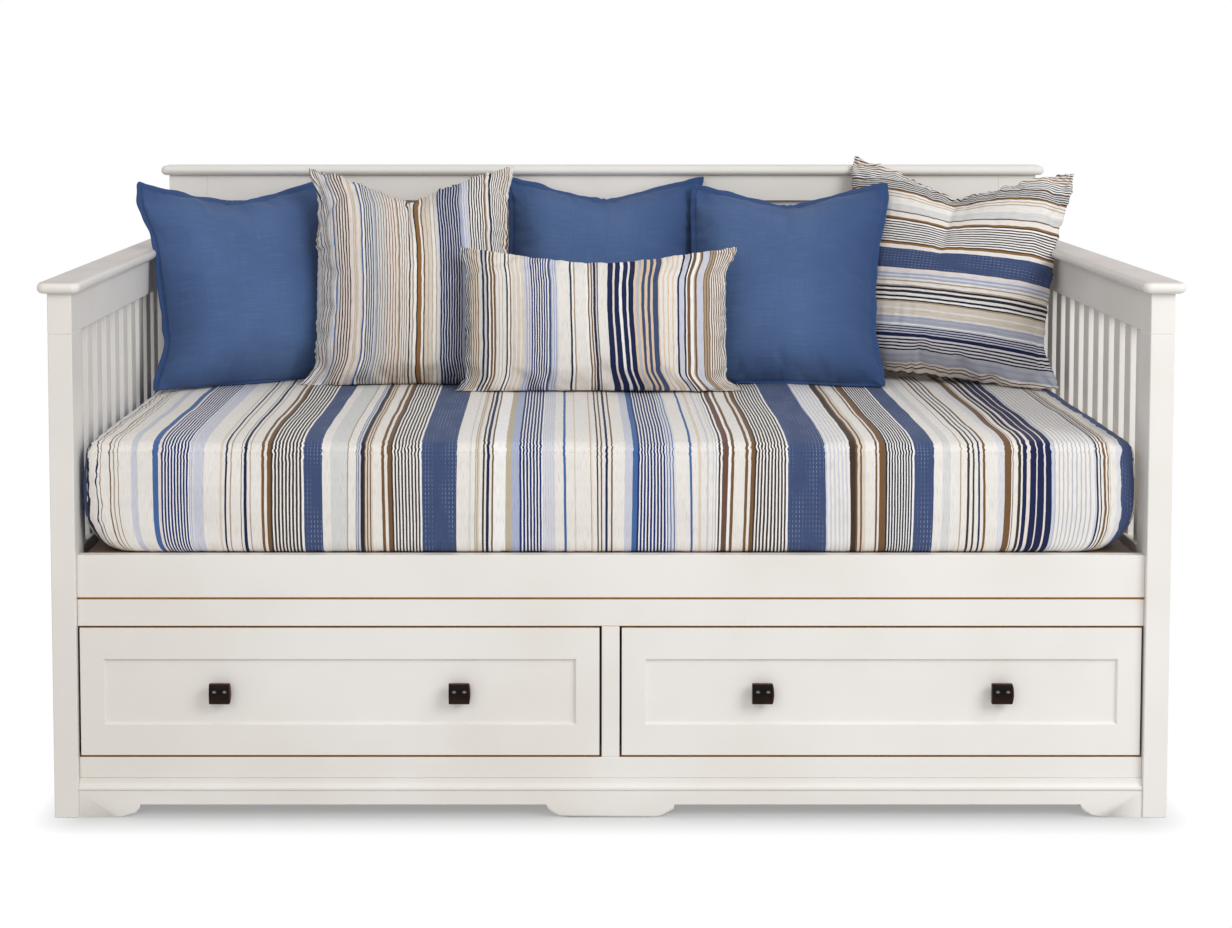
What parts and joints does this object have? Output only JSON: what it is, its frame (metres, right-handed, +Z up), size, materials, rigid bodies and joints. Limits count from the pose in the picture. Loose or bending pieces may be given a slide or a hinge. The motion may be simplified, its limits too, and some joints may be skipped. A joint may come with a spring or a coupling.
{
  "type": "storage daybed",
  "caption": "Painted daybed with slatted arms, a panelled back, bullnosed caps, a case of deep drawers on a bracket plinth, a made-up striped mattress and loose pillows.",
  "frame": {"origin": "on the floor, at the middle of the box round the whole daybed, which is the middle of its frame", "axes": "+X to the viewer's right along the daybed, +Y from its open front to its back, +Z up"},
  "size_m": [2.085, 1.12, 1.1913],
  "materials": {
    "paint": "satin",
    "bare_wood": "matte",
    "bronze": "satin",
    "mattress_stripe": "matte",
    "pillow_stripe": "matte",
    "lumbar_stripe": "matte",
    "blue_linen": "matte"
  },
  "bodies": {
    "frame": {"left_front_post": "paint", "left_back_post": "paint", "left_arm_top_rail": "paint", "left_arm_cap": "paint", "left_arm_slats": "paint", "right_front_post": "paint", "right_back_post": "paint", "right_arm_top_rail": "paint", "right_arm_cap": "paint", "right_arm_slats": "paint", "back_left_stile": "paint", "back_right_stile": "paint", "back_top_rail": "paint", "back_lower_rail": "paint", "back_left_mullion": "paint", "back_right_mullion": "paint", "back_left_panel": "paint", "back_centre_panel": "paint", "back_right_panel": "paint", "back_cap": "paint", "front_bed_rail": "paint", "case_left_side": "paint", "case_right_side": "paint", "case_top_rail": "paint", "case_bottom_rail": "paint", "case_centre_stile": "paint", "base_moulding": "paint", "bracket_plinth": "paint", "front_cleat": "bare_wood", "back_cleat": "bare_wood", "deck_beam": "bare_wood", "deck_left_half": "bare_wood", "deck_right_half": "bare_wood", "case_partition": "bare_wood", "case_back": "bare_wood", "left_bay_left_runner": "bare_wood", "left_bay_right_runner": "bare_wood", "right_bay_left_runner": "bare_wood", "right_bay_right_runner": "bare_wood", "mattress": "mattress_stripe", "blue_pillow_left": "blue_linen", "striped_pillow_left": "pillow_stripe", "blue_pillow_centre": "blue_linen", "blue_pillow_right": "blue_linen", "striped_pillow_right": "pillow_stripe", "striped_lumbar_pillow": "lumbar_stripe"},
    "left_drawer": {"left_drawer_front": "paint", "left_drawer_left_side": "bare_wood", "left_drawer_right_side": "bare_wood", "left_drawer_back": "bare_wood", "left_drawer_bottom": "bare_wood", "left_drawer_left_knob": "bronze", "left_drawer_right_knob": "bronze"},
    "right_drawer": {"right_drawer_front": "paint", "right_drawer_left_side": "bare_wood", "right_drawer_right_side": "bare_wood", "right_drawer_back": "bare_wood", "right_drawer_bottom": "bare_wood", "right_drawer_left_knob": "bronze", "right_drawer_right_knob": "bronze"}
  },
  "joints": [
    {"name": "left_drawer_slide", "type": "slide", "parent": "frame", "child": "left_drawer", "axis": [0, -1, 0], "range_m": [0, 0.6]},
    {"name": "right_drawer_slide", "type": "slide", "parent": "frame", "child": "right_drawer", "axis": [0, -1, 0], "range_m": [0, 0.6]}
  ]
}
